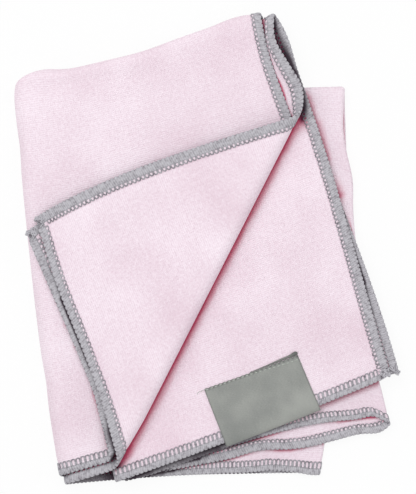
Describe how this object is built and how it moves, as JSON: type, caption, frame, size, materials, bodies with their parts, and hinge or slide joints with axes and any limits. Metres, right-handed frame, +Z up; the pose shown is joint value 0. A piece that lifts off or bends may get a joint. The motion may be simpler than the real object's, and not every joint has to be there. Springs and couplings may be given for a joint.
{
  "type": "pet grooming towel",
  "caption": "Microfibre pet grooming towel, folded into a flat layered pack with overlock edging, a bare tape label and one corner turned back.",
  "frame": {"origin": "middle of the folded pack's outline, on the table under it", "axes": "+Y towards the folded top of the pack, +X to its free edges, +Z up"},
  "size_m": [0.188, 0.238, 0.024],
  "materials": {
    "microfibre": "pale pink warp-knit microfibre with fine ribs and a short nap",
    "thread": "grey textured polyester overlock thread",
    "label_tape": "sage grey satin tape, bare"
  },
  "bodies": {
    "root": {"towel_cloth": "microfibre", "edging_short_outer": "thread", "edging_short_inner": "thread", "edging_long_plain": "thread", "edging_long_label": "thread", "label": "label_tape"}
  },
  "joints": []
}
